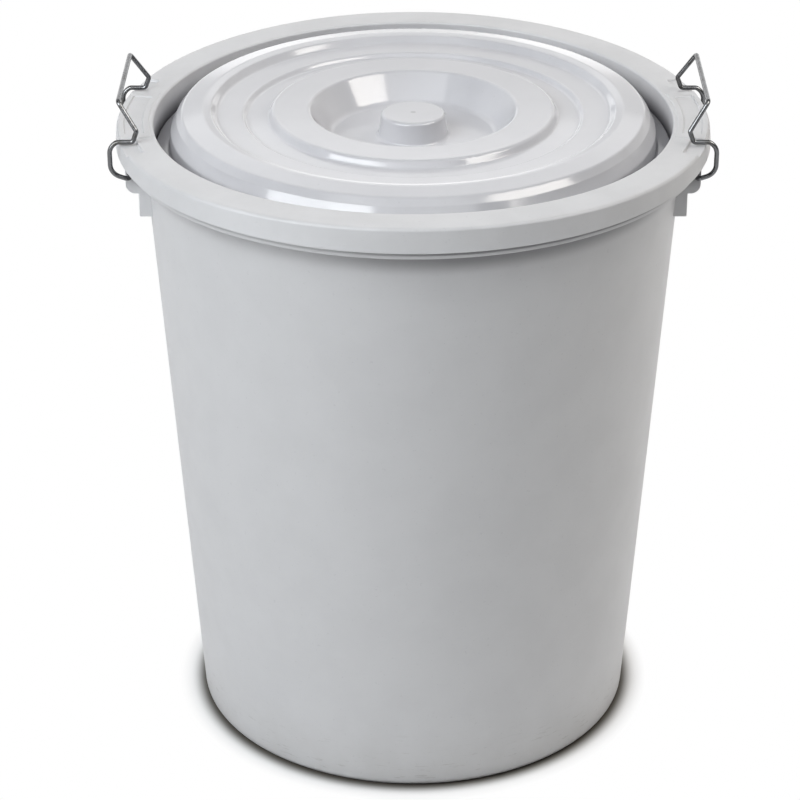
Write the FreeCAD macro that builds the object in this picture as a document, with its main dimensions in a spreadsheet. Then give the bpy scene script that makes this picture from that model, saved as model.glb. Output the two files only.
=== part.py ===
import FreeCAD, Part
import math
import os
import types
import Sketcher

# Round trash can with a clamped rim collar, a drop-in domed lid and two bent-wire clips.
# Origin on the floor at the centre of the base, +Z up, the clips at +X and -X.
# All sizes are in millimetres, and angles in degrees.

# can body
can_height = 543  # floor to the top end of the wall
base_radius = 192  # outer radius of the wall at the floor
mouth_radius = 228.66  # outer radius of the wall at its top end
wall = 3.5  # thickness of the can's wall
base_round = 6  # rounding between wall and base
foot_width = 27  # base's edge in to the foot ring's inner edge
foot_slope = 8  # width of the slope inside the foot ring
foot_height = 5  # height of the base panel above the floor
floor_thickness = 4  # thickness of the base panel
flange_drop = 11.5  # top end of the wall down to the flange's lip
flange_height = 5  # height of the flange's outer face
flange_plate = 3  # thickness of the flange
flange_lip = 3  # thickness of the flange's upturned lip
flange_inset = 3  # flange's outer face inside the collar's top edge

# rim collar
rim_overhang = 19.84  # collar's top edge beyond the wall's top end
rim_flare = 2  # how much wider the skirt is at its lower edge
rim_arch = 5.6  # how much lower the collar's top is at the clips than in front
rim_round = 3  # rounding of the collar's outer top edge
collar_wall = 3  # thickness of the collar's walls
collar_plate = 5.2  # thickness of the collar's top at the clips
collar_gap = 2.1  # collar's inner wall to the can's wall
collar_round = 2  # rounding of the collar's inner top edge
skirt_depth = 20.6  # collar's highest point down to the skirt's lower edge
seat_depth = 31  # collar's highest point down to the lid's seat
seat_width = 14.5  # width of the ledge that carries the lid
pad_rise = 1.8  # height of the pad between a clip's legs
pad_setback = 0.5  # pad's outer face inside the collar's top edge
pad_margin = 4  # collar's inner edge to the pad
pad_angle = 26  # angle that the pad covers, in degrees
panel_depth = 1.2  # depth of the sunk panel in the pad
panel_border = 5  # pad around the sunk panel
panel_angle = 21  # angle that the sunk panel covers, in degrees
landing_drop = 1.4  # collar's top at the clips down to the landings for the legs
landing_width = 13  # collar's top edge in to the landings' inner side
landing_angle = 41  # angle that pad and landings cover, in degrees

# clip lugs on the can body
lug_half = 54  # half the length of a lug
lug_setback = 9  # lug's outer face inside the collar's top edge
lug_height = 26.2  # flange's underside down to the lug's underside
lug_round = 8  # rounding of the lug's lower edge
lug_end = 12  # thickness of the lug's ends
lug_rail = 5  # lug left above and below its hollow
lug_web = 3  # web between the lug's hollow and the can's wall
gusset_setback = 10.5  # gusset's outer face inside the lug's outer face
gusset_height = 20.8  # lug's underside down to the gusset's underside
pivot_inset = 4  # lug's outer face in to the clip's axis
pivot_drop = 9.5  # flange's underside down to the clip's axis

# wire clips
wire = 4  # diameter of the clip's wire
pin_clearance = 0.06  # play of the wire in its hole, along the radius
pin_depth = 9  # length of the wire's end inside the lug
pin_bend = 4  # bend radius at the wire's end
leg_gap = 6.6  # lug's end to the clip's leg
leg_lean = 6.6  # how much each leg leans in on its way to the grip
bulge_proud = 2  # leg's outermost run beyond the collar's top edge
bulge_low = 5  # clip's axis up to the bulge's lower corner
bulge_high = 5  # rest run down to the bulge's upper corner
bulge_bend = 11  # bend radius of the bulge
rest_gap = 1.2  # leg's rest run above its landing
rest_outer = 4  # collar's top edge in to the rest run's outer corner
rest_length = 13.5  # length of the rest run between its corners
rest_bend = 5  # bend radius at the rest run's outer corner
kink_in = 3.5  # rest run's inner corner in to the kink
kink_height = 9.5  # rest run up to the kink
kink_bend = 3  # bend radius at the kink
grip_out = 14.7  # kink out to the grip
grip_height = 32.8  # rest run up to the grip
grip_bend = 4  # bend radius at the grip's ends

# lid, from its edge to its centre
lid_gap = 1.2  # lid's edge to the collar's inner wall
lid_wall = 3  # thickness of the lid
lid_edge_width = 11.8  # width of the flat edge that rests on the ledge
lid_foot_round = 2  # rounding between flat edge and dome
dome_draft = 1.1  # how much the dome's side leans in
haunch_height = 18.2  # seat up to the haunch, where the side starts to turn over
haunch_round = 6  # rounding of the haunch
shoulder_step = 5.2  # haunch in to the shoulder
shoulder_height = 28.1  # seat up to the shoulder
shoulder_round = 6  # rounding of the shoulder
brow_step = 4.8  # shoulder in to the brow
brow_height = 33.8  # seat up to the brow
brow_round = 4  # rounding of the brow
brow_width = 17.4  # brow in to the ridge
ridge_height = 36.8  # seat up to the ridge, the lid's highest ring
ridge_round = 10  # rounding of the ridge
ridge_width = 6.8  # ridge in to its inner edge
ridge_fall = 1  # how much lower the ridge's inner edge is
ridge_edge_round = 3  # rounding of the ridge's inner edge
terrace_step = 4.7  # ridge's inner edge in to the terrace
terrace_height = 29.9  # seat up to the terrace
terrace_round = 4  # rounding at the terrace's outer side
terrace_width = 22.4  # width of the terrace
terrace_edge_round = 3  # rounding at the terrace's inner side
valley_slope = 2.8  # terrace in to the valley
valley_height = 25.8  # seat up to the valley's outer side
valley_round = 3  # rounding of the valley's floor
valley_width = 18.3  # width of the valley's floor
valley_rise = 1.6  # how much higher the valley's inner side is
plateau_slope = 3.6  # valley in to the plateau
plateau_height = 33.9  # seat up to the plateau
plateau_round = 4  # rounding of the plateau's edges
plateau_width = 31  # width of the plateau
bowl_slope = 16.4  # plateau in to the bowl's floor
bowl_floor = 9.2  # seat up to the bowl's floor
bowl_round = 8  # rounding of the bowl's floor
step_offset = 1.6  # underside's sideways shift at the bowl and the rings
knob_radius = 29.6  # radius of the knob at its foot
knob_draft = 2.8  # how much narrower the knob is at its top
knob_height = 20  # bowl's floor up to the knob's top
knob_round = 3  # rounding of the knob's top and foot

driving = {name: value for name, value in list(globals().items()) if isinstance(value, (int, float))}


class Size:
    """A length or an angle that knows both its value and the formula that drives it."""

    def __init__(self, text, value):
        self.text = text
        self.value = value

    def __add__(self, other):
        other = as_size(other)
        return Size(f"({self.text} + {other.text})", self.value + other.value)

    def __sub__(self, other):
        other = as_size(other)
        return Size(f"({self.text} - {other.text})", self.value - other.value)

    def __mul__(self, other):
        other = as_size(other)
        return Size(f"({self.text} * {other.text})", self.value * other.value)

    def __truediv__(self, other):
        other = as_size(other)
        return Size(f"({self.text} / {other.text})", self.value / other.value)


def as_size(number):
    return number if isinstance(number, Size) else Size(repr(number), float(number))


doc = FreeCAD.newDocument("trash_can")
sheet = doc.addObject("Spreadsheet::Sheet", "Sizes")
for row, (alias, value) in enumerate(driving.items(), 1):
    sheet.set(f"A{row}", alias)
    sheet.set(f"B{row}", str(value))
    sheet.setAlias(f"B{row}", alias)
doc.recompute()

cells = {alias: Size(f"Sizes.{alias}", float(value)) for alias, value in driving.items()}
d = types.SimpleNamespace(**cells)
zero = as_size(0)


# Heights and radii that the pieces share
foot_radius = d.base_radius - d.foot_width
flange_top = d.can_height - d.flange_drop
flange_bottom = flange_top - d.flange_height
rim_radius = d.mouth_radius + d.rim_overhang
flange_radius = rim_radius - d.flange_inset
side_top = d.can_height + d.collar_plate
rim_top = side_top + d.rim_arch
skirt_bottom = rim_top - d.skirt_depth
lid_seat = rim_top - d.seat_depth
ledge_bottom = lid_seat - d.collar_wall
landing = side_top - d.landing_drop


def wall_radius(height):
    return d.base_radius + (d.mouth_radius - d.base_radius) * height / d.can_height


collar_inner = wall_radius(ledge_bottom) - d.wall - d.collar_gap - d.collar_wall
lug_reach = rim_radius - d.lug_setback
lug_bottom = flange_bottom - d.lug_height
pivot_across = lug_reach - d.pivot_inset
pivot_height = flange_bottom - d.pivot_drop
leg_plane = d.lug_half + d.leg_gap + d.wire / 2


# Sketch, feature and edge helpers
def new_body(label):
    body = doc.addObject("PartDesign::Body", label)
    body.Label = label
    return body


def origin_plane(body, role):
    for feature in body.Origin.OriginFeatures:
        if feature.Role == role:
            return feature
    raise ValueError(role)


def new_sketch(body, name, role):
    sketch = body.newObject("Sketcher::SketchObject", name)
    sketch.AttachmentSupport = [(origin_plane(body, role), "")]
    sketch.MapMode = "FlatFace"
    return sketch


def pin_point(sketch, edge, end, kind, axis, size):
    """Holds one coordinate of a point at a driven distance from the sketch's origin."""
    if size.value == 0:
        sketch.addConstraint(Sketcher.Constraint("PointOnObject", edge, end, axis))
        return
    if size.value > 0:
        index = sketch.addConstraint(Sketcher.Constraint(kind, -1, 1, edge, end, size.value))
        sketch.setExpression(f"Constraints[{index}]", size.text)
        return
    index = sketch.addConstraint(Sketcher.Constraint(kind, edge, end, -1, 1, -size.value))
    sketch.setExpression(f"Constraints[{index}]", f"-1 * {size.text}")


def add_outline(sketch, corners):
    """Closed outline of straight runs through driven corners."""
    first = sketch.GeometryCount
    count = len(corners)
    points = [FreeCAD.Vector(across.value, up.value, 0) for across, up in corners]
    for index in range(count):
        sketch.addGeometry(Part.LineSegment(points[index], points[(index + 1) % count]))
    for index in range(count):
        edge = first + index
        following = first + (index + 1) % count
        sketch.addConstraint(Sketcher.Constraint("Coincident", edge, 2, following, 1))
        pin_point(sketch, edge, 1, "DistanceX", -2, corners[index][0])
        pin_point(sketch, edge, 1, "DistanceY", -1, corners[index][1])


def outline(body, name, role, corners):
    sketch = new_sketch(body, name, role)
    add_outline(sketch, corners)
    return sketch


def turned(body, kind, name, corners, angle=None):
    """Outline turned about the can's axis: a full turn, or an arc centred on +X."""
    feature = body.newObject(f"PartDesign::{kind}", name)
    feature.Profile = outline(body, f"{name}_outline", "XZ_Plane", corners)
    feature.ReferenceAxis = (feature.Profile[0], ["V_Axis"])
    feature.Angle = 360
    if angle is not None:
        feature.Midplane = True
        feature.setExpression("Angle", angle.text)
    doc.recompute()
    return feature


def mirrored(body, name, features):
    feature = body.newObject("PartDesign::Mirrored", name)
    feature.Originals = features
    feature.MirrorPlane = (origin_plane(body, "YZ_Plane"), [""])
    body.Tip = feature
    doc.recompute()
    return feature


def expect_less(body, before, name):
    if body.Shape.Volume >= before:
        raise RuntimeError(f"{name} removed nothing")


def same(first, second):
    return math.isclose(first, second, abs_tol=1e-4)


def ring_edges(shape, corners):
    """Names of the round edges that run through the given corners of an outline."""
    names = []
    for radius, height in corners:
        found = [
            f"Edge{index}"
            for index, edge in enumerate(shape.Edges, 1)
            if isinstance(edge.Curve, Part.Circle)
            and same(edge.Curve.Radius, radius.value)
            and same(edge.Curve.Center.z, height.value)
        ]
        if not found:
            raise RuntimeError(f"no edge at radius {radius.value}, height {height.value}")
        names += found
    return names


def from_axis(edge):
    point = edge.valueAt(edge.FirstParameter)
    return math.hypot(point.x, point.y)


def same_edges(shape, wanted):
    """Names of a shape's edges that run through the same points as the wanted ones."""
    names = []
    for index, edge in enumerate(shape.Edges, 1):
        if any(same(edge.BoundBox.Center.distanceToPoint(other.BoundBox.Center), 0) for other in wanted):
            names.append(f"Edge{index}")
    if not names:
        raise RuntimeError("no edge matches")
    return names


def arch_outline(body, reach, low, high, radius):
    """Outline above an arc that is symmetric about the can's axis."""
    sketch = new_sketch(body, "arch_outline", "XZ_Plane")
    half = math.asin(reach.value / radius.value)
    crown = low.value + radius.value * (1 - math.cos(half))
    centre = FreeCAD.Vector(0, crown - radius.value, 0)
    circle = Part.Circle(centre, FreeCAD.Vector(0, 0, 1), radius.value)
    arc = sketch.addGeometry(Part.ArcOfCircle(circle, math.pi / 2 - half, math.pi / 2 + half))
    corners = [(zero - reach, low), (zero - reach, high), (reach, high), (reach, low)]
    points = [FreeCAD.Vector(across.value, up.value, 0) for across, up in corners]
    lines = [sketch.addGeometry(Part.LineSegment(start, end)) for start, end in zip(points, points[1:])]
    sketch.addConstraint(Sketcher.Constraint("Coincident", arc, 2, lines[0], 1))
    sketch.addConstraint(Sketcher.Constraint("Coincident", lines[0], 2, lines[1], 1))
    sketch.addConstraint(Sketcher.Constraint("Coincident", lines[1], 2, lines[2], 1))
    sketch.addConstraint(Sketcher.Constraint("Coincident", lines[2], 2, arc, 1))
    for edge, corner in zip(lines + [arc], corners):
        pin_point(sketch, edge, 1, "DistanceX", -2, corner[0])
        pin_point(sketch, edge, 1, "DistanceY", -1, corner[1])
    index = sketch.addConstraint(Sketcher.Constraint("Radius", arc, radius.value))
    sketch.setExpression(f"Constraints[{index}]", radius.text)
    return sketch


def rounded(body, name, corners, radius):
    base = body.Tip
    feature = body.newObject("PartDesign::Fillet", name)
    feature.Base = (base, ring_edges(base.Shape, corners))
    feature.setExpression("Radius", radius.text)
    doc.recompute()
    return feature


# Can body: tapered wall, base with a foot ring, flange with an upturned lip and two clip lugs
def make_can_body():
    body = new_body("can_body")
    base_corner = (d.base_radius, zero)
    lip_inner = flange_radius - d.flange_lip
    plate_top = flange_bottom + d.flange_plate
    turned(body, "Revolution", "can_outside", [
        (zero, d.foot_height),
        (foot_radius - d.foot_slope, d.foot_height),
        (foot_radius, zero),
        base_corner,
        (wall_radius(flange_bottom), flange_bottom),
        (flange_radius, flange_bottom),
        (flange_radius, flange_top),
        (lip_inner, flange_top),
        (lip_inner, plate_top),
        (wall_radius(plate_top), plate_top),
        (d.mouth_radius, d.can_height),
        (zero, d.can_height),
    ])
    inside_wall = d.mouth_radius - d.wall
    gusset_reach = lug_reach - d.gusset_setback
    lug_root = wall_radius(lug_bottom - d.gusset_height) - d.wall - d.lug_half / 2
    lug = body.newObject("PartDesign::Pad", "lug")
    lug.Profile = outline(body, "lug_outline", "XZ_Plane", [
        (lug_root, lug_bottom - d.gusset_height),
        (gusset_reach, lug_bottom - d.gusset_height),
        (gusset_reach, lug_bottom),
        (lug_reach, lug_bottom),
        (lug_reach, flange_bottom),
        (lug_root, flange_bottom),
    ])
    lug.Midplane = True
    lug.setExpression("Length", (d.lug_half * 2).text)
    doc.recompute()
    lower_edges = [
        f"Edge{index}"
        for index, edge in enumerate(lug.Shape.Edges, 1)
        if same(edge.BoundBox.XMin, lug_reach.value)
        and same(edge.BoundBox.XMax, lug_reach.value)
        and same(edge.BoundBox.ZMax, lug_bottom.value)
    ]
    lug_rounding = body.newObject("PartDesign::Fillet", "lug_rounding")
    lug_rounding.Base = (lug, lower_edges)
    lug_rounding.setExpression("Radius", d.lug_round.text)
    doc.recompute()

    before = body.Shape.Volume
    hollow = body.newObject("PartDesign::Pocket", "lug_hollow")
    hollow_inner = wall_radius(flange_bottom) + d.lug_web
    hollow.Profile = outline(body, "hollow_outline", "XZ_Plane", [
        (hollow_inner, lug_bottom + d.lug_rail),
        (lug_reach + d.lug_web, lug_bottom + d.lug_rail),
        (lug_reach + d.lug_web, flange_bottom - d.lug_rail),
        (hollow_inner, flange_bottom - d.lug_rail),
    ])
    hollow.Midplane = True
    hollow.setExpression("Length", ((d.lug_half - d.lug_end) * 2).text)
    doc.recompute()
    expect_less(body, before, "lug_hollow")

    before = body.Shape.Volume
    bore = body.newObject("PartDesign::Pocket", "pivot_bore")
    bore_sketch = new_sketch(body, "bore_outline", "XZ_Plane")
    hole_radius = d.wire / 2 + d.pin_clearance
    centre = FreeCAD.Vector(pivot_across.value, pivot_height.value, 0)
    circle = bore_sketch.addGeometry(Part.Circle(centre, FreeCAD.Vector(0, 0, 1), hole_radius.value))
    index = bore_sketch.addConstraint(Sketcher.Constraint("Radius", circle, hole_radius.value))
    bore_sketch.setExpression(f"Constraints[{index}]", hole_radius.text)
    pin_point(bore_sketch, circle, 3, "DistanceX", -2, pivot_across)
    pin_point(bore_sketch, circle, 3, "DistanceY", -1, pivot_height)
    bore.Profile = bore_sketch
    bore.Midplane = True
    bore.setExpression("Length", (d.lug_half * 2 + d.wire).text)
    doc.recompute()
    expect_less(body, before, "pivot_bore")
    mirrored(body, "second_lug", [lug, lug_rounding, hollow, bore])

    before = body.Shape.Volume
    inside_corner = (wall_radius(d.floor_thickness) - d.wall, d.floor_thickness)
    floor_top = d.foot_height + d.floor_thickness
    turned(body, "Groove", "can_inside", [
        (zero, floor_top),
        (foot_radius - d.foot_slope, floor_top),
        (foot_radius, d.floor_thickness),
        inside_corner,
        (inside_wall, d.can_height),
        (inside_wall, d.can_height + d.wall),
        (zero, d.can_height + d.wall),
    ])
    expect_less(body, before, "can_inside")
    rounded(body, "inside_rounding", [inside_corner], d.base_round - d.wall)
    rounded(body, "base_rounding", [base_corner], d.base_round)
    return body


# Rim collar: skirt and arched top over the can's edge, inner wall with the lid's ledge,
# and at each clip a raised pad with a sunk panel between two landings for the clip's legs
def make_rim_collar():
    body = new_body("rim_collar")
    ledge_inner = collar_inner - d.seat_width
    flared = rim_radius + d.rim_flare
    blank_top = rim_top + d.collar_wall
    turned(body, "Revolution", "collar_ring", [
        (ledge_inner, ledge_bottom),
        (collar_inner + d.collar_wall, ledge_bottom),
        (collar_inner + d.collar_wall, d.can_height),
        (rim_radius - d.collar_wall, d.can_height),
        (flared - d.collar_wall, skirt_bottom),
        (flared, skirt_bottom),
        (rim_radius, blank_top),
        (collar_inner, blank_top),
        (collar_inner, lid_seat),
        (ledge_inner, lid_seat),
    ])

    before = body.Shape.Volume
    reach = flared + d.collar_wall
    side_drop = d.rim_arch * reach * reach / (rim_radius * rim_radius)
    arch_radius = (reach * reach + side_drop * side_drop) / (side_drop * 2)
    arch = body.newObject("PartDesign::Pocket", "arch")
    arch.Profile = arch_outline(body, reach, rim_top - side_drop, blank_top + d.collar_wall, arch_radius)
    arch.Midplane = True
    arch.setExpression("Length", (reach * 3).text)
    doc.recompute()
    expect_less(body, before, "arch")

    top_faces = [
        face
        for face in arch.Shape.Faces
        if isinstance(face.Surface, Part.Cylinder) and same(face.Surface.Radius, arch_radius.value)
    ]
    middle = (collar_inner + rim_radius) / 2
    roundings = [("rim_rounding", True, d.rim_round), ("inner_rounding", False, d.collar_round)]
    for name, outer, radius in roundings:
        base = body.Tip
        chosen = [
            edge
            for face in top_faces
            for edge in face.Edges
            if (from_axis(edge) > middle.value) == outer
        ]
        rounding = body.newObject("PartDesign::Fillet", name)
        rounding.Base = (base, same_edges(base.Shape, chosen))
        rounding.setExpression("Radius", radius.text)
        doc.recompute()

    before = body.Shape.Volume
    outside = flared + d.wire
    landing_inner = rim_radius - d.landing_width
    landings = turned(body, "Groove", "landings", [
        (landing_inner, landing),
        (outside, landing),
        (outside, blank_top),
        (landing_inner, blank_top),
    ], d.landing_angle)
    expect_less(body, before, "landings")
    mirrored(body, "second_landings", [landings])

    pad_inner = collar_inner + d.pad_margin
    pad_outer = rim_radius - d.pad_setback
    pad_top = side_top + d.pad_rise
    pad_root = d.can_height + d.collar_plate / 2
    pad = turned(body, "Revolution", "pad", [
        (pad_inner, pad_root),
        (pad_outer, pad_root),
        (pad_outer, pad_top),
        (pad_inner, pad_top),
    ], d.pad_angle)
    mirrored(body, "second_pad", [pad])

    before = body.Shape.Volume
    panel_inner = pad_inner + d.panel_border
    panel_outer = pad_outer - d.panel_border
    panel = turned(body, "Groove", "panel", [
        (panel_inner, pad_top - d.panel_depth),
        (panel_outer, pad_top - d.panel_depth),
        (panel_outer, pad_top + d.pad_rise),
        (panel_inner, pad_top + d.pad_rise),
    ], d.panel_angle)
    expect_less(body, before, "panel")
    mirrored(body, "second_panel", [panel])
    return body


# Lid: flat edge, dome with stepped rings, a bowl in the middle and a hollow knob
def make_lid():
    body = new_body("lid")
    edge_radius = collar_inner - d.lid_gap
    dome = edge_radius - d.lid_edge_width
    edge_top = lid_seat + d.lid_wall
    foot = (dome, edge_top)
    haunch = (dome - d.dome_draft, lid_seat + d.haunch_height)
    shoulder = (haunch[0] - d.shoulder_step, lid_seat + d.shoulder_height)
    brow = (shoulder[0] - d.brow_step, lid_seat + d.brow_height)
    ridge = (brow[0] - d.brow_width, lid_seat + d.ridge_height)
    ridge_edge = (ridge[0] - d.ridge_width, lid_seat + d.ridge_height - d.ridge_fall)
    terrace = (ridge_edge[0] - d.terrace_step, lid_seat + d.terrace_height)
    terrace_edge = (terrace[0] - d.terrace_width, lid_seat + d.terrace_height)
    valley = (terrace_edge[0] - d.valley_slope, lid_seat + d.valley_height)
    valley_end = (valley[0] - d.valley_width, lid_seat + d.valley_height + d.valley_rise)
    plateau = (valley_end[0] - d.plateau_slope, lid_seat + d.plateau_height)
    bowl_rim = (plateau[0] - d.plateau_width, lid_seat + d.plateau_height)
    bowl = (bowl_rim[0] - d.bowl_slope, lid_seat + d.bowl_floor)
    knob_foot = (d.knob_radius, lid_seat + d.bowl_floor)
    knob_top = (d.knob_radius - d.knob_draft, lid_seat + d.bowl_floor + d.knob_height)

    def below(corner, inward):
        return (corner[0] - inward, corner[1] - d.lid_wall)

    outward = zero - d.step_offset
    turned(body, "Revolution", "lid_shell", [
        (edge_radius, lid_seat),
        (edge_radius, edge_top),
        foot,
        haunch,
        shoulder,
        brow,
        ridge,
        ridge_edge,
        terrace,
        terrace_edge,
        valley,
        valley_end,
        plateau,
        bowl_rim,
        bowl,
        knob_foot,
        knob_top,
        (zero, knob_top[1]),
        (zero, knob_top[1] - d.lid_wall),
        below(knob_top, d.lid_wall),
        below(knob_foot, d.lid_wall),
        below(bowl, outward),
        below(bowl_rim, outward),
        below(plateau, d.step_offset),
        below(valley_end, d.step_offset),
        below(valley, outward),
        below(terrace_edge, outward),
        below(terrace, outward),
        below(ridge_edge, outward),
        below(ridge, outward),
        below(brow, d.step_offset),
        below(shoulder, d.step_offset),
        below(haunch, d.lid_wall),
        (dome - d.lid_wall, lid_seat),
    ])
    rounded(body, "foot_rounding", [foot], d.lid_foot_round)
    rounded(body, "haunch_rounding", [haunch], d.haunch_round)
    rounded(body, "shoulder_rounding", [shoulder], d.shoulder_round)
    rounded(body, "brow_rounding", [brow], d.brow_round)
    rounded(body, "ridge_rounding", [ridge], d.ridge_round)
    rounded(body, "ridge_edge_rounding", [ridge_edge], d.ridge_edge_round)
    rounded(body, "terrace_rounding", [terrace], d.terrace_round)
    rounded(body, "terrace_edge_rounding", [terrace_edge], d.terrace_edge_round)
    rounded(body, "valley_rounding", [valley, valley_end], d.valley_round)
    rounded(body, "plateau_rounding", [plateau, bowl_rim], d.plateau_round)
    rounded(body, "bowl_rounding", [bowl], d.bowl_round)
    rounded(body, "knob_rounding", [knob_foot, knob_top], d.knob_round)
    return body


# Wire clips: one bent wire each, ends in the lug's bore, legs over the collar, grip on top
def bent_path(points, bends):
    """Straight runs joined by tangent arcs, one bend radius for each inner point."""
    edges = []
    start = points[0]
    for before, corner, after, bend in zip(points, points[1:], points[2:], bends):
        back = (before - corner).normalize()
        ahead = (after - corner).normalize()
        half_turn = (math.pi - back.getAngle(ahead)) / 2
        reach = bend * math.tan(half_turn)
        middle = (back + ahead).normalize()
        sagitta = bend / math.cos(half_turn) - bend
        arc_start = corner + back * reach
        arc_end = corner + ahead * reach
        edges.append(Part.LineSegment(start, arc_start).toShape())
        edges.append(Part.Arc(arc_start, corner + middle * sagitta, arc_end).toShape())
        start = arc_end
    edges.append(Part.LineSegment(start, points[-1]).toShape())
    return Part.Wire(edges)


def make_clip(label, side):
    rest_height = landing + d.rest_gap + d.wire / 2
    bulge = rim_radius + d.bulge_proud
    rest_corner = rim_radius - d.rest_outer
    kink_across = rest_corner - d.rest_length - d.kink_in
    leg = [
        (pivot_across, d.lug_half - d.pin_depth, pivot_height, None),
        (pivot_across, leg_plane, pivot_height, d.pin_bend),
        (bulge, leg_plane, pivot_height + d.bulge_low, d.bulge_bend),
        (bulge, leg_plane, rest_height - d.bulge_high, d.bulge_bend),
        (rest_corner, leg_plane, rest_height, d.rest_bend),
        (rest_corner - d.rest_length, leg_plane, rest_height, d.kink_bend),
        (kink_across, leg_plane, rest_height + d.kink_height, d.kink_bend),
        (kink_across + d.grip_out, leg_plane - d.leg_lean, rest_height + d.grip_height, d.grip_bend),
    ]
    front = [FreeCAD.Vector(side * x.value, -y.value, z.value) for x, y, z, bend in leg]
    back = [FreeCAD.Vector(side * x.value, y.value, z.value) for x, y, z, bend in leg]
    bends = [bend.value for x, y, z, bend in leg[1:]]

    path = doc.addObject("Part::Feature", f"{label}_path")
    path.Shape = bent_path(front + back[::-1], bends + bends[::-1])
    path.Placement = FreeCAD.Placement()

    section = doc.addObject("Part::Circle", f"{label}_section")
    section.setExpression("Radius", (d.wire / 2).text)
    across_wire = FreeCAD.Rotation(FreeCAD.Vector(0, 0, 1), FreeCAD.Vector(0, 1, 0))
    section.Placement = FreeCAD.Placement(front[0], across_wire)

    clip = doc.addObject("Part::Sweep", label)
    clip.Label = label
    clip.Sections = [section]
    clip.Spine = (path, [f"Edge{index}" for index in range(1, len(path.Shape.Edges) + 1)])
    clip.Solid = True
    clip.Frenet = False
    doc.recompute()
    expected = math.pi * (d.wire.value / 2) ** 2 * path.Shape.Length
    print(label, "wire length", round(path.Shape.Length, 1))
    print(label, "volume share", round(clip.Shape.Volume / expected, 4))
    return clip


pieces = [
    make_can_body(),
    make_rim_collar(),
    make_lid(),
    make_clip("left_clip", -1),
    make_clip("right_clip", 1),
]
doc.recompute()

failed = [item.Name for item in doc.Objects if "Invalid" in item.State or "Error" in item.State]
if failed:
    raise RuntimeError(f"failed features: {failed}")
for piece in pieces:
    if piece.Shape.isNull() or not piece.Shape.isValid() or not piece.Shape.Solids:
        raise RuntimeError(f"{piece.Label} has no sound solid")

os.makedirs("parts", exist_ok=True)
for piece in pieces:
    piece.Shape.exportStep(f"parts/{piece.Label}.step")
    print(piece.Label, len(piece.Shape.Solids), "solid", round(piece.Shape.Volume / 1000, 1), "cm3")
print("clip axis", round(pivot_across.value, 3), round(pivot_height.value, 3))
print("lid seat", round(lid_seat.value, 3))
print("collar inner radius", round(collar_inner.value, 3), "rim radius", round(rim_radius.value, 3))
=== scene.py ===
import math

import bmesh
import bpy
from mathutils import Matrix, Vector


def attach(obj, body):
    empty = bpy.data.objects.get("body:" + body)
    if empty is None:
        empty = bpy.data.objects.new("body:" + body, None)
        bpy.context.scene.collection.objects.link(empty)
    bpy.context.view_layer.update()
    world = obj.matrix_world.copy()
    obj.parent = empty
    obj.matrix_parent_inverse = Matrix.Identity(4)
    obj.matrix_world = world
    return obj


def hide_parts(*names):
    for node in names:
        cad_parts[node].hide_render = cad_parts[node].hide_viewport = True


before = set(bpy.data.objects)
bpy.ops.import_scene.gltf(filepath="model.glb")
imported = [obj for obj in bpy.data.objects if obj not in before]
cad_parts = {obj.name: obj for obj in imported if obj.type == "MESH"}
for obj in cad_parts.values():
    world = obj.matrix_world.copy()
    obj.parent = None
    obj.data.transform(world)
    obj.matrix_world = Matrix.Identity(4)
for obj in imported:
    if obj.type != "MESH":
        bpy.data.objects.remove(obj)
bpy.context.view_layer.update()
print("frame: nodes", sorted(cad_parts))

mm = 0.001  # shapes are in millimetres; looks, stage and lamps are in metres
mergeGap = 1e-6  # metres; points closer than this are one
noiseMiddle = 0.5


def paint(red, green, blue):
    # 0 to 255 as seen on screen, to the linear colour a shader wants
    def straight(level):
        level /= 255
        return level / 12.92 if level <= 0.04045 else ((level + 0.055) / 1.055) ** 2.4
    return (straight(red), straight(green), straight(blue), 1)


# node trees: one wrapped socket that can be added up, and one method for every other node
class Signal:
    def __init__(self, sheet, socket):
        self.sheet = sheet
        self.socket = socket

    def sum(self, operation, left, right):
        return self.sheet.node("ShaderNodeMath", {"operation": operation}, {0: left, 1: right})

    def __add__(self, other):
        return self.sum("ADD", self, other)

    def __radd__(self, other):
        return self.sum("ADD", other, self)

    def __sub__(self, other):
        return self.sum("SUBTRACT", self, other)

    def __rsub__(self, other):
        return self.sum("SUBTRACT", other, self)

    def __mul__(self, other):
        return self.sum("MULTIPLY", self, other)


class NodeSheet:
    def __init__(self, tree):
        self.tree = tree

    def node(self, kind, settings=None, sockets=None, output=0):
        made = self.tree.nodes.new(kind)
        for name, value in (settings or {}).items():
            setattr(made, name, value)
        for name, value in (sockets or {}).items():
            if isinstance(value, Signal):
                self.tree.links.new(value.socket, made.inputs[name])
            else:
                made.inputs[name].default_value = value
        return Signal(self, made.outputs[output] if made.outputs else None)


# finishes
def newFinish(name):
    material = bpy.data.materials.new(name)
    material.use_nodes = True
    sheet = NodeSheet(material.node_tree)
    shader = material.node_tree.nodes["Principled BSDF"]
    place = sheet.node("ShaderNodeTexCoord", output="Object")
    return material, sheet, shader, place


def feed(sheet, shader, **signals):
    for name, signal in signals.items():
        sheet.tree.links.new(signal.socket, shader.inputs[name.replace("_", " ")])


def partOf(sheet, place, axis):
    return sheet.node("ShaderNodeSeparateXYZ", {}, {0: place}, axis)


def lengthOf(sheet, place):
    return sheet.node("ShaderNodeVectorMath", {"operation": "LENGTH"}, {0: place}, "Value")


def rayIs(sheet, kind):
    return sheet.node("ShaderNodeLightPath", output="Is " + kind + " Ray")


def noise(sheet, place, scale, detail=2.0, rough=0.5):
    return sheet.node("ShaderNodeTexNoise", {}, {
        "Vector": place, "Scale": scale, "Detail": detail, "Roughness": rough})


def stretched(sheet, place, scale):
    return sheet.node("ShaderNodeMapping", {}, {"Vector": place, "Scale": scale})


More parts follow.
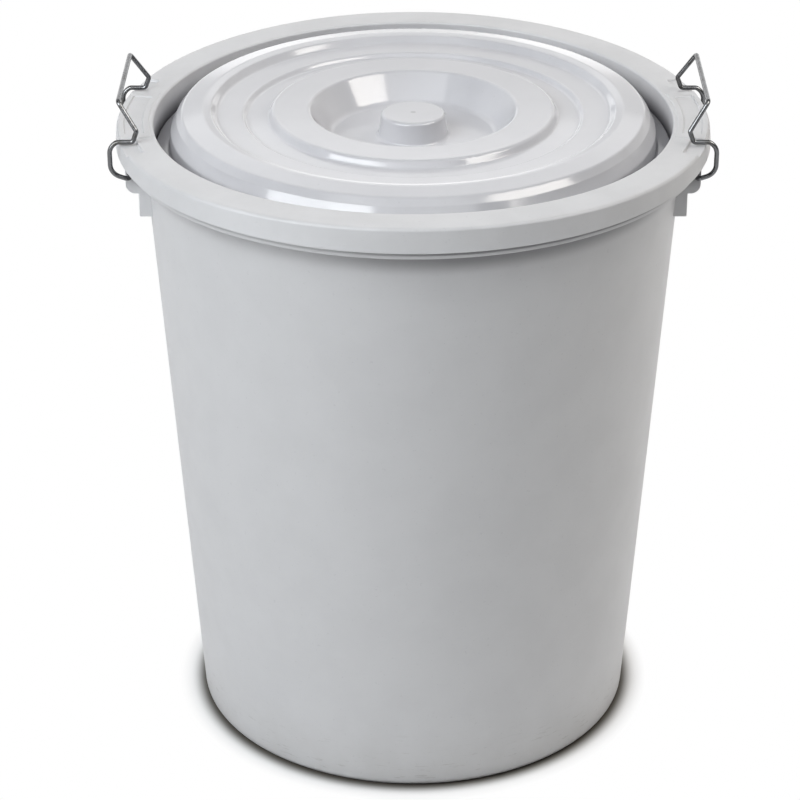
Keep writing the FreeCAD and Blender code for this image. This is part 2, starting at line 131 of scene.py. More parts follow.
def between(sheet, value, low, high, start=0.0, end=1.0):
    # soft step from start to end while the value runs from low to high
    return sheet.node("ShaderNodeMapRange", {"interpolation_type": "SMOOTHSTEP"}, {
        0: value, 1: low, 2: high, 3: start, 4: end})


def mixed(sheet, amount, first, second):
    return sheet.node("ShaderNodeMix", {"data_type": "RGBA"}, {0: amount, 6: first, 7: second}, 2)


def bumped(sheet, relief, strength):
    return sheet.node("ShaderNodeBump", {}, {"Height": relief, "Distance": mm, "Strength": strength})


def mouldedPlastic(name, look):
    material, sheet, shader, place = newFinish(name)
    across = partOf(sheet, place, "X")
    height = partOf(sheet, place, "Z")
    flat = sheet.node("ShaderNodeVectorMath", {"operation": "MULTIPLY"}, {0: place, 1: (1, 1, 0)})
    out = lengthOf(sheet, flat)

    cloud = noise(sheet, place, look["cloudScale"], detail=4, rough=0.55)
    grain = noise(sheet, place, look["grainScale"])
    wave = noise(sheet, place, look["waveScale"], detail=1)
    drawn = noise(sheet, stretched(sheet, place, look["drawScale"]), 1, detail=3, rough=0.6)
    rings = sheet.node("ShaderNodeTexNoise", {"noise_dimensions": "1D"}, {
        "W": out, "Scale": look["ringScale"], "Detail": 2})

    speck = between(sheet, noise(sheet, place, look["speckScale"], detail=1), *look["speckRange"])
    nearFloor = between(sheet, height, look["scuffTop"], 0.0)
    scratch = noise(sheet, stretched(sheet, place, look["scratchScale"]), 1, detail=4, rough=0.65)
    scuff = nearFloor * between(sheet, scratch, *look["scratchRange"])
    dust = nearFloor * cloud

    # painted shade in the gap round the lid and painted shadow under the rim, heavier on the right; the
    # knob's gate mark is a real mark in the same dark tone
    # painted shade: darker in the deep gap between the collar and the lid
    paintedGapShade = between(sheet, height, *look["gapHeight"]) * between(sheet, out, *look["gapRadius"])
    # painted shadow under the rim's skirt and flange, heavier towards the right side
    shadowUnderFlange = between(sheet, height, *look["rimShadowFade"]) * between(sheet, height, *look["rimShadowEdge"])
    paintedRimShadow = shadowUnderFlange + between(sheet, height, *look["skirtShadowEdge"])
    paintedRimShadow = paintedRimShadow * between(sheet, out, *look["rimShadowRadius"]) * between(sheet, across, *look["rimShadowSide"])
    gate = between(sheet, out, *look["gateRadius"]) * between(sheet, height, *look["gateHeight"])

    tone = mixed(sheet, between(sheet, cloud, *look["cloudRange"]), look["tone"], look["shade"])
    marks = [(speck, "speck", "speckTone"), (scuff, "scuff", "scuffTone"), (dust, "dust", "dustTone"),
             (paintedGapShade, "gapShade", "shadeAndGateTone"), (paintedRimShadow, "rimShadow", "shadeAndGateTone"), (gate, "gate", "shadeAndGateTone")]
    for mask, amount, colour in marks:
        tone = mixed(sheet, mask * look[amount], tone, look[colour])
    rough = look["rough"] + scuff * look["roughScuff"]
    for pattern, amount in ((cloud, "roughCloud"), (drawn, "roughDrawn"), (rings, "roughRings")):
        rough = rough + (pattern - noiseMiddle) * look[amount]
    relief = grain * look["grain"] + wave * look["wave"] + drawn * look["drawn"] + rings * look["rings"]
    feed(sheet, shader, Base_Color=tone, Roughness=rough, Normal=bumped(sheet, relief, look["relief"]))
    shader.inputs["IOR"].default_value = look["gloss"]
    print("finish:", name)
    return material


def drawnSteel(name, look):
    material, sheet, shader, place = newFinish(name)
    lines = noise(sheet, stretched(sheet, place, look["lineScale"]), 1, detail=3, rough=0.6)
    stain = noise(sheet, place, look["stainScale"], detail=4, rough=0.6)
    nick = between(sheet, noise(sheet, place, look["nickScale"]), *look["nickRange"])
    tone = mixed(sheet, between(sheet, stain, *look["stainRange"]), look["tone"], look["stainTone"])
    tone = mixed(sheet, nick * look["nickShare"], tone, look["nickTone"])
    rough = look["rough"] + (lines - noiseMiddle) * look["roughLines"]
    rough = rough + nick * look["roughNick"] + (stain - noiseMiddle) * look["roughStain"]
    relief = lines * look["line"] + nick * look["nick"]
    feed(sheet, shader, Base_Color=tone, Roughness=rough, Normal=bumped(sheet, relief, look["relief"]))
    shader.inputs["Metallic"].default_value = 1.0
    print("finish:", name)
    return material


# geometry trees
def newTree(name, inputs):
    tree = bpy.data.node_groups.new(name, "GeometryNodeTree")
    tree.interface.new_socket("Geometry", in_out="INPUT", socket_type="NodeSocketGeometry")
    for label, kind in inputs:
        tree.interface.new_socket(label, in_out="INPUT", socket_type=kind)
    tree.interface.new_socket("Geometry", in_out="OUTPUT", socket_type="NodeSocketGeometry")
    sheet = NodeSheet(tree)
    start = tree.nodes.new("NodeGroupInput")
    given = {socket.name: Signal(sheet, socket) for socket in start.outputs if socket.name}
    return tree, sheet, given


def roundedLine(sheet, given, attribute, steps):
    # the edge line as a curve, each corner rounded by the point's own attribute
    line = sheet.node("GeometryNodeMeshToCurve", {}, {0: given["Geometry"]})
    radius = sheet.node("GeometryNodeInputNamedAttribute", {"data_type": "FLOAT"}, {"Name": attribute})
    return sheet.node("GeometryNodeFilletCurve", {"mode": "POLY"}, {
        0: line, "Count": given[steps], "Radius": radius, "Limit Radius": True})


def circleOf(sheet, given, steps, radius):
    return sheet.node("GeometryNodeCurvePrimitiveCircle", {}, {
        "Resolution": given[steps], "Radius": given[radius]})


def closeTree(sheet, geometry, material):
    realized = sheet.node("GeometryNodeRealizeInstances", {}, {0: geometry})
    smooth = sheet.node("GeometryNodeSetShadeSmooth", {}, {0: realized})
    finished = sheet.node("GeometryNodeSetMaterial", {}, {0: smooth, "Material": material})
    sheet.node("NodeGroupOutput", {}, {0: finished})


def turnedTree():
    # a half outline of corners, turned about the can's axis
    tree, sheet, given = newTree("turnedShell", [
        ("Turn Steps", "NodeSocketInt"), ("Corner Steps", "NodeSocketInt"),
        ("Path Radius", "NodeSocketFloat"), ("Finish", "NodeSocketMaterial")])
    outline = roundedLine(sheet, given, "corner", "Corner Steps")
    circle = circleOf(sheet, given, "Turn Steps", "Path Radius")
    path = sheet.node("GeometryNodeSetCurveNormal", {"mode": "Z_UP"}, {0: circle})
    shell = sheet.node("GeometryNodeCurveToMesh", {}, {0: path, 1: outline})
    closed = sheet.node("GeometryNodeMergeByDistance", {}, {0: shell, "Distance": mergeGap})
    closeTree(sheet, closed, given["Finish"])
    return tree


def wireTree():
    # straight runs through bend points, swept with a round wire
    tree, sheet, given = newTree("bentWire", [
        ("Wire Radius", "NodeSocketFloat"), ("Wire Steps", "NodeSocketInt"),
        ("Bend Steps", "NodeSocketInt"), ("Finish", "NodeSocketMaterial")])
    path = roundedLine(sheet, given, "bend", "Bend Steps")
    ring = circleOf(sheet, given, "Wire Steps", "Wire Radius")
    wire = sheet.node("GeometryNodeCurveToMesh", {}, {0: path, 1: ring, "Fill Caps": True})
    closeTree(sheet, wire, given["Finish"])
    return tree


# meshes
def linked(name, data):
    made = bpy.data.objects.new(name, data)
    bpy.context.scene.collection.objects.link(made)
    return made


def settled(holder):
    # the evaluated shape as a plain mesh; the holder and its modifiers go
    bpy.context.view_layer.update()
    held = holder.evaluated_get(bpy.context.evaluated_depsgraph_get())
    mesh = bpy.data.meshes.new_from_object(held)
    mesh.name = holder.name
    old = holder.data
    holder.modifiers.clear()
    bpy.data.objects.remove(holder)
    bpy.data.meshes.remove(old)
    return mesh


def grown(name, points, attribute, values, tree, inputs):
    # an edge line with one value per point, run through a tree and kept as a plain mesh
    mesh = bpy.data.meshes.new(name)
    mesh.from_pydata(points, [(i, i + 1) for i in range(len(points) - 1)], [])
    mesh.attributes.new(attribute, "FLOAT", "POINT").data.foreach_set("value", values)
    holder = linked(name, mesh)
    modifier = holder.modifiers.new(name, "NODES")
    modifier.node_group = tree
    for socket in tree.interface.items_tree:
        if socket.in_out == "INPUT" and socket.name in inputs:
            modifier[socket.identifier] = inputs[socket.name]
    return settled(holder)


def fromShape(name, shape):
    mesh = bpy.data.meshes.new(name)
    shape.to_mesh(mesh)
    shape.free()
    return mesh


def tidied(mesh, material):
    # doubles merged, faces outward, one material
    shape = bmesh.new()
    shape.from_mesh(mesh)
    bmesh.ops.remove_doubles(shape, verts=shape.verts, dist=mergeGap)
    bmesh.ops.recalc_face_normals(shape, faces=shape.faces)
    if shape.calc_volume(signed=True) < 0:
        bmesh.ops.reverse_faces(shape, faces=shape.faces)
    shape.to_mesh(mesh)
    shape.free()
    mesh.materials.clear()
    mesh.materials.append(material)
    return mesh


def modified(name, mesh, kind, **settings):
    holder = linked(name, mesh)
    modifier = holder.modifiers.new(kind, kind)
    for key, value in settings.items():
        setattr(modifier, key, value)
    return settled(holder)


def joinedBy(operation, name, mesh, other):
    tool = linked(name + "Tool", other)
    result = modified(name, mesh, "BOOLEAN", operation=operation, object=tool, solver="EXACT")
    bpy.data.objects.remove(tool)
    bpy.data.meshes.remove(other)
    return result


def smoothed(name, mesh, sharpAngle=38):
    mesh.polygons.foreach_set("use_smooth", [True] * len(mesh.polygons))
    mesh.set_sharp_from_angle(angle=math.radians(sharpAngle))
    return modified(name, mesh, "WEIGHTED_NORMAL", keep_sharp=True, weight=60)


def handIn(name, mesh, body, node):
    piece = linked(name, mesh)
    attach(piece, body)
    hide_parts(node)
    print("piece:", name, len(mesh.vertices), "points", len(mesh.polygons), "faces")


shellTree = turnedTree()
bentTree = wireTree()
pathRadius = 0.1  # metres; any radius will do, the outline is shifted by it
print("trees: turned shell, bent wire")


def turned(name, corners, turnSteps, cornerSteps, material):
    # corners are radius, height and rounding
    points = [(r * mm - pathRadius, -z * mm, 0) for r, z, corner in corners]
    mesh = grown(name, points, "corner", [corner * mm for r, z, corner in corners], shellTree, {
        "Turn Steps": turnSteps, "Corner Steps": cornerSteps,
        "Path Radius": pathRadius, "Finish": material})
    return tidied(mesh, material)


# can body; pairs in a look are where a soft step starts and ends
canLook = dict(
    tone=paint(211, 211, 213), shade=paint(208, 208, 210), cloudScale=22, cloudRange=(0.34, 0.68),
    speck=0.2, speckTone=paint(170, 170, 172), speckScale=420, speckRange=(0.70, 0.78),
    scuff=0.55, scuffTone=paint(178, 177, 176), scuffTop=0.075,
    scratchScale=(60, 60, 420), scratchRange=(0.60, 0.68), dust=0.30, dustTone=paint(172, 168, 160),
    # painted shade in the gap round the lid, unused on the can body; its dark tone also colours the knob's
    # gate mark
    gapShade=0.0, shadeAndGateTone=paint(84, 82, 88), gapHeight=(0.541, 0.524), gapRadius=(0.2196, 0.2190),
    # painted shadow under the skirt and the flange, heavier towards the right side
    rimShadow=0.62, rimShadowFade=(0.502, 0.518), rimShadowEdge=(0.5270, 0.5264), skirtShadowEdge=(0.5287, 0.5300),
    rimShadowRadius=(0.2215, 0.2225), rimShadowSide=(-0.12, 0.06, 0.3, 1.0),
    gate=0.0, gateRadius=(0.0027, 0.0019), gateHeight=(0.549, 0.550),
    rough=0.46, roughCloud=0.10, roughDrawn=0.06, roughRings=0.0, roughScuff=0.12, gloss=1.46,
    grain=0.05, grainScale=900, wave=0.3, waveScale=7, drawn=0.03, drawScale=(160, 160, 5),
    rings=0.0, ringScale=300, relief=0.35)
canPlastic = mouldedPlastic("canPlastic", canLook)

can = dict(
    height=543, baseRadius=192, mouthRadius=228.66, wall=3.5, baseRound=6,
    footRadius=165, footSlope=8, footHeight=5, footRound=3, floorThick=4, floorRound=6,
    flangeTop=531.5, flangeBottom=526.5, flangePlate=3, flangeLip=3, flangeRadius=245.5, flangeRoot=1.5,
    edgeRound=1.0, turnSteps=320, cornerSteps=8)


def wallRadius(height):
    return can["baseRadius"] + (can["mouthRadius"] - can["baseRadius"]) * height / can["height"]


def canShell():
    floorTop = can["footHeight"] + can["floorThick"]
    footInner = can["footRadius"] - can["footSlope"]
    plateTop = can["flangeBottom"] + can["flangePlate"]
    lipInner = can["flangeRadius"] - can["flangeLip"]
    soft = can["edgeRound"]
    corners = [
        (0, floorTop, 0),
        (footInner, floorTop, can["floorRound"]),
        (can["footRadius"], can["floorThick"], can["floorRound"]),
        (wallRadius(can["floorThick"]) - can["wall"], can["floorThick"], can["baseRound"] - can["wall"]),
        (can["mouthRadius"] - can["wall"], can["height"], soft),
        (can["mouthRadius"], can["height"], soft),
        (wallRadius(plateTop), plateTop, soft),
        (lipInner, plateTop, soft / 2),
        (lipInner, can["flangeTop"], soft / 2),
        (can["flangeRadius"], can["flangeTop"], soft),
        (can["flangeRadius"], can["flangeBottom"], soft),
        (wallRadius(can["flangeBottom"]), can["flangeBottom"], can["flangeRoot"]),
        (can["baseRadius"], 0, can["baseRound"]),
        (can["footRadius"], 0, can["footRound"]),
        (footInner, can["footHeight"], can["footRound"]),
        (0, can["footHeight"], 0),
    ]
    return turned("canShell", corners, can["turnSteps"], can["cornerSteps"], canPlastic)


lug = dict(
    half=54, root=195, reach=239.5, top=528, bottom=500.3, lowerRound=8, roundSteps=8,
    end=12, rail=5, hollowInner=230.5, hollowPast=5, gussetReach=229, gussetBottom=479.5,
    pivotAcross=235.5, pivotHeight=517, boreRadius=2.06, boreSteps=24, borePast=2,
    edgeRound=0.8, edgeSteps=3, edgeAngle=50, corePast=10)


def prism(name, outline, y0, y1):
    # an outline in x and z, drawn out along y
    shape = bmesh.new()
    first = [shape.verts.new((x * mm, y0 * mm, z * mm)) for x, z in outline]
    second = [shape.verts.new((x * mm, y1 * mm, z * mm)) for x, z in outline]
    shape.faces.new(first)
    shape.faces.new(second[::-1])
    for i in range(len(outline)):
        j = (i + 1) % len(outline)
        shape.faces.new((first[i], first[j], second[j], second[i]))
    bmesh.ops.recalc_face_normals(shape, faces=shape.faces)
    return fromShape(name, shape)


def arcPoints(centre, radius, start, end, steps):
    angles = [math.radians(start + (end - start) * i / steps) for i in range(steps + 1)]
    return [(centre[0] + radius * math.cos(a), centre[1] + radius * math.sin(a)) for a in angles]


def lugBlock():
    reach, bottom, corner = lug["reach"], lug["bottom"], lug["lowerRound"]
    outline = [(lug["root"], lug["gussetBottom"]), (lug["gussetReach"], lug["gussetBottom"]),
               (lug["gussetReach"], bottom)]
    outline += arcPoints((reach - corner, bottom + corner), corner, -90, 0, lug["roundSteps"])
    outline += [(reach, lug["top"]), (lug["root"], lug["top"])]
    return prism("lug", outline, -lug["half"], lug["half"])


def lugHollow():
    half = lug["half"] - lug["end"]
    inner, outer = lug["hollowInner"], lug["reach"] + lug["hollowPast"]
    low, high = lug["bottom"] + lug["rail"], can["flangeBottom"] - lug["rail"]
    return prism("hollow", [(inner, low), (outer, low), (outer, high), (inner, high)], -half, half)


def lugBore():
    half = lug["half"] + lug["borePast"]
    lastAngle = 360 - 360 / lug["boreSteps"]
    ring = arcPoints((lug["pivotAcross"], lug["pivotHeight"]), lug["boreRadius"],
                     0, lastAngle, lug["boreSteps"] - 1)
    return prism("bore", ring, -half, half)


def canCore():
    # the room inside the middle of the wall, which a lug must not reach into
    low, high = lug["gussetBottom"] - lug["corePast"], lug["top"] + lug["corePast"]
    middle = can["wall"] / 2
    corners = [(0, high, 0), (wallRadius(high) - middle, high, 0),
               (wallRadius(low) - middle, low, 0), (0, low, 0)]
    return turned("core", corners, can["turnSteps"], 1, canPlastic)


def lugMesh():
    mesh = joinedBy("DIFFERENCE", "lug", lugBlock(), lugHollow())
    mesh = joinedBy("DIFFERENCE", "lug", mesh, lugBore())
    mesh = modified("lug", mesh, "BEVEL", width=lug["edgeRound"] * mm, segments=lug["edgeSteps"],
                    limit_method="ANGLE", angle_limit=math.radians(lug["edgeAngle"]))
    return joinedBy("DIFFERENCE", "lug", mesh, canCore())


def makeCan():
    mesh = canShell()
    for side in (1, -1):
        block = lugMesh()
        for vertex in block.vertices:
            vertex.co.x *= side
            vertex.co.y *= side
        mesh = joinedBy("UNION", "canBody", mesh, block)
    mesh = smoothed("canBody", tidied(mesh, canPlastic))
    handIn("canBody", mesh, "can", "can_body")


makeCan()

# rim collar
rimLook = dict(
    canLook, tone=paint(213, 213, 215), shade=paint(208, 208, 210), rough=0.50, roughCloud=0.06,
    # strong painted shade on the collar's inner wall in the gap round the lid
    grain=0.10, wave=0.25, cloudScale=24, scuff=0.0, dust=0.0, speck=0.15, gapShade=0.8, rimShadow=0.0)
rimPlastic = mouldedPlastic("rimPlastic", rimLook)

rim = dict(
    radius=248.5, flare=2, arch=5.6, top=553.8, round=3, innerRadius=218.494, innerRound=2, wall=3,
    plateBottom=543, skirtBottom=533.2, coneTop=556.8, ledgeInner=203.994, ledgeTop=522.8, ledgeBottom=519.8,
    landing=546.8, landingInner=235.5, landingHalf=20.5,  # halves are in degrees from the clip
    padTop=550.0, padInner=222.494, padOuter=248.0, padHalf=13.0,
    panelTop=548.8, panelInner=227.494, panelOuter=243.0, panelHalf=10.5,
    soft=0.5, edgeRound=0.8, turnSteps=300, innerSteps=4, roundSteps=10, cornerSteps=4,
    flatStops=(221.494, 225, 231.5, 239.5, 245.5), skirtMargin=2,
    edgeStops=(-1.0, -0.6, -0.2, 0.2, 0.6, 1.0), edgeClear=1.3)  # both in soft widths
turnSoft = math.degrees(rim["soft"] / rim["landingInner"])


def stepAt(value, edge, soft):
    # 0 before the edge and 1 after it, over a soft width
    part = min(max((value - edge + soft) / (2 * soft), 0), 1)
    return part * part * (3 - 2 * part)


def outerRadius(height):
    return rim["radius"] + rim["flare"] * (rim["coneTop"] - height) / (rim["coneTop"] - rim["skirtBottom"])


def archTop(radius, angle):
    return rim["top"] - rim["arch"] * (radius * math.cos(angle) / rim["radius"]) ** 2


def outerRounding(angle):
    # radius where the outer rounding starts, and the height of its centre
    low = archTop(rim["radius"], angle) - rim["round"]
    return outerRadius(low) - rim["round"], low


def fromClip(angle):
    # degrees away from the nearer clip
    turn = math.degrees(angle) % 180
    return min(turn, 180 - turn)


def collarTop(radius, angle):
    inner = rim["innerRadius"] + rim["innerRound"]
    roundStart, roundLow = outerRounding(angle)
    height = archTop(radius, angle)
    if radius < inner:
        height -= rim["innerRound"] - math.sqrt(max(rim["innerRound"] ** 2 - (inner - radius) ** 2, 0))
    if radius > roundStart:
        height = roundLow + math.sqrt(max(rim["round"] ** 2 - (radius - roundStart) ** 2, 0))
    away = fromClip(angle)
    soft = rim["soft"]
    onLanding = stepAt(radius, rim["landingInner"], soft) * (1 - stepAt(away, rim["landingHalf"], turnSoft))
    height += (min(height, rim["landing"]) - height) * onLanding
    for name in ("pad", "panel"):
        band = stepAt(radius, rim[name + "Inner"], soft) * (1 - stepAt(radius, rim[name + "Outer"], soft))
        height += (rim[name + "Top"] - height) * band * (1 - stepAt(away, rim[name + "Half"], turnSoft))
    return height


def spread(edges, soft, evenStops):
    # sorted stops: the even ones, and a close cluster at each edge
    stops = set(round(stop, 5) for stop in evenStops)
    for edge in edges:
        stops = {stop for stop in stops if abs(stop - edge) > rim["edgeClear"] * soft}
        stops |= {round(edge + offset * soft, 5) for offset in rim["edgeStops"]}
    return sorted(stops)


def softCorner(before, corner, after):
    before, corner, after = Vector(before), Vector(corner), Vector(after)
    start = corner + (before - corner).normalized() * rim["edgeRound"]
    end = corner + (after - corner).normalized() * rim["edgeRound"]
    points = []
    for i in range(rim["cornerSteps"] + 1):
        share = i / rim["cornerSteps"]
        points.append(tuple(start * (1 - share) ** 2 + corner * 2 * share * (1 - share) + end * share ** 2))
    return points


def collarUnderside():
    # from the skirt's lower edge round to the lid's seat
    low, plate, inner = rim["skirtBottom"], rim["plateBottom"], rim["innerRadius"]
    wallOuter = inner + rim["wall"]
    turns = [
        (outerRadius(plate), plate), (outerRadius(low), low),
        (outerRadius(low) - rim["wall"], low), (rim["radius"] - rim["wall"], plate),
        (wallOuter, plate), (wallOuter, rim["ledgeBottom"]),
        (rim["ledgeInner"], rim["ledgeBottom"]), (rim["ledgeInner"], rim["ledgeTop"]),
        (inner, rim["ledgeTop"]), (inner, plate)]
    points = []
    for before, corner, after in zip(turns, turns[1:], turns[2:]):
        points += softCorner(before, corner, after)
    return points


def collarAngles():
    steps = rim["turnSteps"] // 4
    quarter = spread([rim["landingHalf"], rim["padHalf"], rim["panelHalf"]], turnSoft,
                     [90 * i / steps for i in range(steps + 1)])
    angles = quarter + [180 - a for a in quarter[-2::-1]]
    angles += [180 + a for a in quarter[1:]] + [360 - a for a in quarter[-2:0:-1]]
    return [math.radians(a) for a in angles]


def collarMesh():
    innerTurn = math.pi / 2 / rim["innerSteps"]
    flat = [rim["innerRadius"] + rim["innerRound"] * (1 - math.cos(innerTurn * i))
            for i in range(rim["innerSteps"] + 1)]
    flat += spread([rim["padInner"], rim["panelInner"], rim["landingInner"], rim["panelOuter"]],
                   rim["soft"], rim["flatStops"])
    roundTurn = math.pi / 2 / rim["roundSteps"]
    edge = spread([rim["padOuter"] - outerRounding(0)[0]], rim["soft"] / 2,
                  [rim["round"] * math.sin(roundTurn * i) for i in range(1, rim["roundSteps"] + 1)])
    low, margin = rim["skirtBottom"], rim["skirtMargin"]
    underside = collarUnderside()
    shape = bmesh.new()
    rows = []
    for angle in collarAngles():
        across = flat + [outerRounding(angle)[0] + step for step in edge]
        section = [(r, collarTop(r, angle)) for r in across]
        high = section[-1][1]
        section += [(outerRadius(z), z) for z in (high - margin, (high + low) / 2, low + margin)]
        section += underside
        c, s = math.cos(angle), math.sin(angle)
        rows.append([shape.verts.new((r * c * mm, r * s * mm, z * mm)) for r, z in section])
    count = len(rows[0])
    for row, ahead in zip(rows, rows[1:] + rows[:1]):
        for j in range(count):
            k = (j + 1) % count
            shape.faces.new((row[j], ahead[j], ahead[k], row[k]))
    return fromShape("rimCollar", shape)


handIn("rimCollar", smoothed("rimCollar", tidied(collarMesh(), rimPlastic)),
       "can", "rim_collar")

# lid
lidLook = dict(
    canLook, tone=paint(207, 207, 211), shade=paint(204, 204, 208), scuff=0.0, dust=0.0, speck=0.15,
    rough=0.12, roughCloud=0.03, roughDrawn=0.0, roughRings=0.03, gloss=1.5,
    grain=0.006, wave=0.5, waveScale=14, rings=0.02, ringScale=900,
    # painted shade on the lid's low edge where it sits in the gap
    gapShade=0.5, gapHeight=(0.534, 0.525), gapRadius=(0.195, 0.200), rimShadow=0.0, gate=0.25)
lidPlastic = mouldedPlastic("lidPlastic", lidLook)

lid = dict(
    seat=522.8, wall=3, edgeRadius=217.294, domeRadius=205.494, stepOffset=1.6, edgeRound=0.8,
    turnSteps=320, cornerSteps=7, knobInnerRound=2,
    # corners of the top face from the edge in: radius, height, rounding
    foot=(205.494, 525.8, 2), haunch=(204.394, 541.0, 6), shoulder=(199.194, 550.9, 6),
    brow=(194.394, 556.6, 4), ridge=(176.994, 559.6, 10), ridgeEdge=(170.194, 558.6, 3),
    terrace=(165.494, 552.7, 4), terraceEdge=(143.094, 552.7, 3), valley=(140.294, 548.6, 3),
    valleyEnd=(121.994, 550.2, 3), plateau=(118.394, 556.7, 4), bowlRim=(87.394, 556.7, 4),
    bowl=(70.994, 532.0, 8), knobFoot=(29.6, 532.0, 3), knobTop=(26.8, 552.0, 3))


def lidMesh():
    wall, step, soft = lid["wall"], lid["stepOffset"], lid["edgeRound"]
    # corners from the edge in, each with how far its underside is set inward
    inward = dict(
        haunch=wall, shoulder=step, brow=step, ridge=-step, ridgeEdge=-step, terrace=-step, terraceEdge=-step,
        valley=-step, valleyEnd=step, plateau=step, bowlRim=-step, bowl=-step, knobFoot=wall, knobTop=wall)
    knobHeight = lid["knobTop"][1]
    corners = [(0, knobHeight, 0)] + [lid[name] for name in reversed(inward)] + [lid["foot"]]
    corners += [
        (lid["edgeRadius"], lid["seat"] + wall, soft),
        (lid["edgeRadius"], lid["seat"], soft),
        (lid["domeRadius"] - wall, lid["seat"], soft)]
    for name, offset in inward.items():
        r, z, corner = lid[name]
        corners.append((r - offset, z - wall, lid["knobInnerRound"] if name.startswith("knob") else corner))
    corners.append((0, knobHeight - wall, 0))
    return turned("lid", corners, lid["turnSteps"], lid["cornerSteps"], lidPlastic)


handIn("lidShell", smoothed("lidShell", lidMesh()), "lid", "lid")

# wire clips
clipLook = dict(
    tone=paint(112, 113, 115), stainTone=paint(80, 79, 77), nickTone=paint(60, 57, 53),
    lineScale=(900, 60, 900), stainScale=90, stainRange=(0.40, 0.72),
    nickScale=500, nickRange=(0.66, 0.74), nickShare=0.5,
    rough=0.24, roughLines=0.18, roughNick=0.12, roughStain=0.10, line=0.02, nick=0.03, relief=0.4)
clipSteel = drawnSteel("clipSteel", clipLook)

clip = dict(
    wireRadius=2.0, wireSteps=20, bendSteps=9, sharpAngle=50,
    # one leg from its pin to the grip: distance from the axis, half width, height, bend
    leg=[(235.5, 45, 517, 0), (235.5, 62.6, 517, 4), (250.5, 62.6, 522, 11), (250.5, 62.6, 545, 11),
         (244.5, 62.6, 550, 5), (231, 62.6, 550, 3), (227.5, 62.6, 559.5, 3), (242.2, 56, 582.8, 4)])


def makeClip(name, side, body, node):
    front = [(side * x * mm, -y * mm, z * mm) for x, y, z, bend in clip["leg"]]
    back = [(x, -y, z) for x, y, z in reversed(front)]
    bends = [bend * mm for x, y, z, bend in clip["leg"]]
    mesh = grown(name, front + back, "bend", bends + bends[::-1], bentTree, {
        "Wire Radius": clip["wireRadius"] * mm, "Wire Steps": clip["wireSteps"],
        "Bend Steps": clip["bendSteps"], "Finish": clipSteel})
    handIn(name, smoothed(name, tidied(mesh, clipSteel), clip["sharpAngle"]), body, node)


makeClip("leftClip", -1, "left_clip", "left_clip")
makeClip("rightClip", 1, "right_clip", "right_clip")

# floor, light and camera
stage = dict(
    floorHalf=6.0, floorTone=paint(250, 250, 250), floorRough=0.9,
    fibreTone=paint(247, 247, 247), fibreScale=400,
    # the contact tone and radius draw a painted contact shadow round the can's foot
    contactShadowTone=paint(96, 92, 86), contactShadowRadius=(0.207, 0.190), shadowRadius=(0.193, 0.217),
    skyRange=(-0.05, 0.9, 0.05, 0.0),  # from and to in the upward direction, then the glow there
    backdropSide=(0.0, 0.5), backdropLow=0.12, lowRange=(0.36, 0.10),
    backdropHigh=0.88, highRange=(0.95, 0.35), aimHeight=0.5)
white = (1, 1, 1, 1)


def floorPaper():
    material, sheet, shader, place = newFinish("floorPaper")
    out = lengthOf(sheet, place)
    tone = mixed(sheet, noise(sheet, place, stage["fibreScale"]), stage["floorTone"], stage["fibreTone"])
    # painted contact shadow on the floor round the can's foot
    tone = mixed(sheet, between(sheet, out, *stage["contactShadowRadius"]), tone, stage["contactShadowTone"])
    feed(sheet, shader, Base_Color=tone)
    shader.inputs["Roughness"].default_value = stage["floorRough"]
    shader.inputs["Specular IOR Level"].default_value = 0.0
    # pure white away from the can, as the camera and the gloss see it
    seen = rayIs(sheet, "Camera") + rayIs(sheet, "Glossy") + rayIs(sheet, "Transmission")
    share = between(sheet, out, *stage["shadowRadius"]) * seen
    plain = Signal(sheet, shader.outputs[0])
    glow = sheet.node("ShaderNodeEmission", {}, {"Color": white, "Strength": 1.0})
    both = sheet.node("ShaderNodeMixShader", {}, {0: share, 1: plain, 2: glow})
    feed(sheet, material.node_tree.nodes["Material Output"], Surface=both)
    return material


def makeFloor():
    half = stage["floorHalf"]
    mesh = bpy.data.meshes.new("floor")
    corners = [(-half, -half, 0), (half, -half, 0), (half, half, 0), (-half, half, 0)]
    mesh.from_pydata(corners, [], [(0, 1, 2, 3)])
    mesh.materials.append(floorPaper())
    floor = linked("floor", mesh)


def makeSky():
    # white to the camera, a white backdrop behind the can in the gloss, and nearly dark otherwise
    world = bpy.data.worlds.new("studio")
    bpy.context.scene.world = world
    world.use_nodes = True
    sheet = NodeSheet(world.node_tree)
    place = sheet.node("ShaderNodeTexCoord", output="Generated")
    up = partOf(sheet, place, "Z")
    glow = between(sheet, up, *stage["skyRange"])
    level = between(sheet, up, *stage["lowRange"]) * stage["backdropLow"]
    level = level + between(sheet, up, *stage["highRange"]) * stage["backdropHigh"]
    backdrop = between(sheet, partOf(sheet, place, "Y"), *stage["backdropSide"]) * level
    share = rayIs(sheet, "Camera") + (rayIs(sheet, "Glossy") + rayIs(sheet, "Transmission")) * backdrop
    back = world.node_tree.nodes["Background"]
    back.inputs["Color"].default_value = white
    feed(sheet, back, Strength=glow * (1 - share) + share)


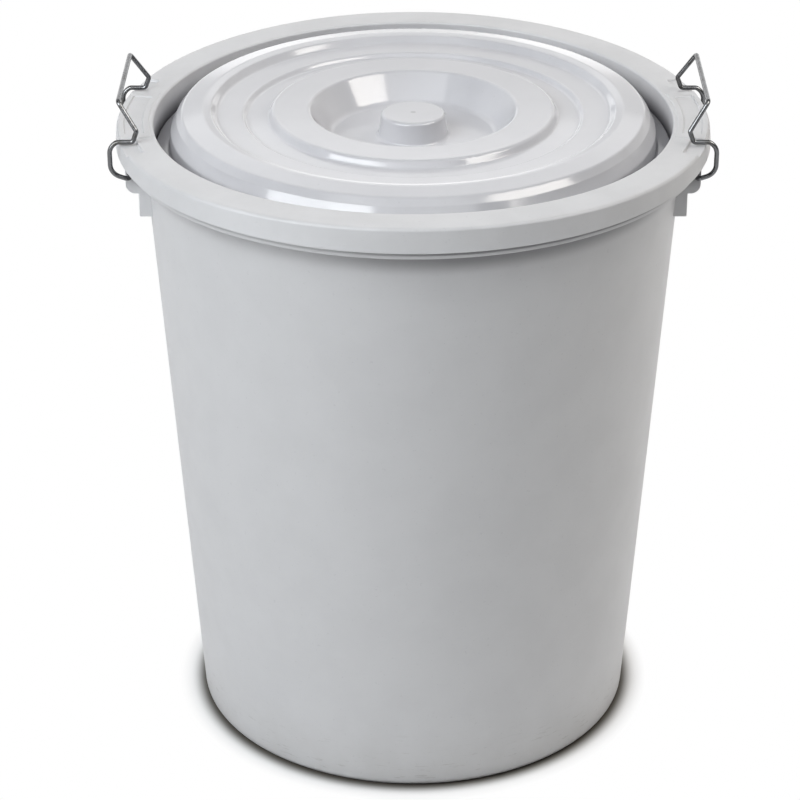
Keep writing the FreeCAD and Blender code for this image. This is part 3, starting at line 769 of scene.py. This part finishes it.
def softbox(name, turn, rise, size, power, distance=2.6, tint=(1, 1, 1), soft=True, shine=True):
    # turn in degrees to the right of the camera's side, rise in degrees above level;
    # soft lights the surfaces, shine shows in their gloss
    light = bpy.data.lights.new(name, "AREA")
    light.shape = "RECTANGLE"
    light.size, light.size_y = size
    light.energy = power
    light.color = tint
    lamp = linked(name, light)
    turn, rise = math.radians(turn), math.radians(rise)
    toLamp = Vector((math.cos(rise) * math.sin(turn), -math.cos(rise) * math.cos(turn), math.sin(rise)))
    lamp.location = Vector((0, 0, stage["aimHeight"])) + toLamp * distance
    lamp.rotation_euler = (-toLamp).to_track_quat("-Z", "Y").to_euler()
    lamp.visible_camera = False
    lamp.visible_diffuse = soft
    lamp.visible_glossy = shine


view = dict(
    sensor=36, lens=128.31, shiftX=-0.0165,
    place=(0, -2.24848, 1.43281), pitch=0.474)  # metres, and radians below level


def makeCamera():
    data = bpy.data.cameras.new("camera")
    data.sensor_width = view["sensor"]
    data.lens = view["lens"]
    data.shift_x = view["shiftX"]
    camera = linked("camera", data)
    camera.location = view["place"]
    camera.rotation_euler = (math.pi / 2 - view["pitch"], 0, 0)
    bpy.context.scene.camera = camera


makeFloor()
makeSky()
coolLight = (0.945, 0.978, 1.0)
warmLight = (1.0, 0.965, 0.91)
softbox("windowLeft", turn=-47, rise=37, size=(2.4, 1.6), power=53, tint=coolLight, shine=False)
softbox("cardLeft", turn=-45, rise=19, size=(2.2, 1.6), power=92, tint=coolLight, soft=False)
softbox("cardRight", turn=65, rise=39.5, size=(1.5, 1.07), power=50, distance=2.4, tint=warmLight, soft=False)
softbox("cardFront", turn=-5, rise=41, size=(3.0, 1.75), power=38, soft=False)
softbox("cardBack", turn=180, rise=7, size=(3.4, 0.4), power=4.5, soft=False)
softbox("windowRight", turn=106, rise=36, size=(2.6, 1.8), power=37, tint=warmLight, shine=False)
softbox("overhead", turn=0, rise=80, size=(2.4, 2.0), power=14, distance=2.4)
softbox("behind", turn=180, rise=36, size=(2.4, 1.2), power=8.6)
softbox("behindLeft", turn=-120, rise=36, size=(2.0, 1.5), power=5)
makeCamera()
bpy.context.scene.view_settings.view_transform = "Standard"
print("stage: floor, sky, nine softboxes, camera")
